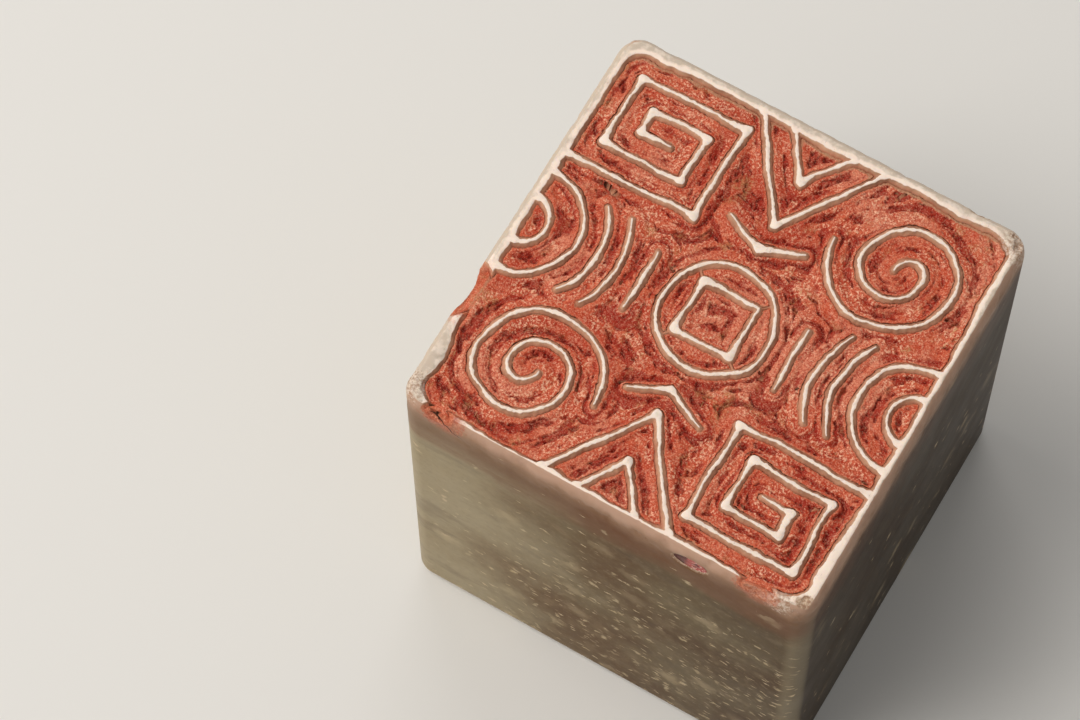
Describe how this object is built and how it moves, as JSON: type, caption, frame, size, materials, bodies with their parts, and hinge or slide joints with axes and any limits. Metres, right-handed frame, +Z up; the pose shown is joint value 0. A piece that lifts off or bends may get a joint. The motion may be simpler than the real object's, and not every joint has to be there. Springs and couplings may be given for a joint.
{
  "type": "seal stamp",
  "caption": "Square stone seal stamp without a knob: an upright block with a relief-carved printing face and dried vermilion paste in its hollows",
  "frame": {"origin": "centre of the foot, on the surface that the stone stands on", "axes": "+Z up, out of the printing face; -Y is the lit side that the picture shows in front; +X is the shaded side"},
  "size_m": [0.036, 0.036, 0.039],
  "materials": {
    "stone": "rubbed smooth with a thin wax gloss",
    "seal_paste": "dry, slightly oily pigment paste"
  },
  "bodies": {
    "root": {"stone_block": "stone", "paste_ground": "seal_paste", "paste_coin_centre": "seal_paste", "paste_coin_right": "seal_paste", "paste_coin_left": "seal_paste", "paste_coin_back": "seal_paste", "paste_coin_front": "seal_paste", "paste_wave_inner_right": "seal_paste", "paste_wave_outer_right": "seal_paste", "paste_wave_inner_left": "seal_paste", "paste_wave_outer_left": "seal_paste", "paste_peak_inner_back": "seal_paste", "paste_peak_outer_back": "seal_paste", "paste_peak_inner_front": "seal_paste", "paste_peak_outer_front": "seal_paste", "paste_side_chip": "seal_paste"}
  },
  "joints": []
}
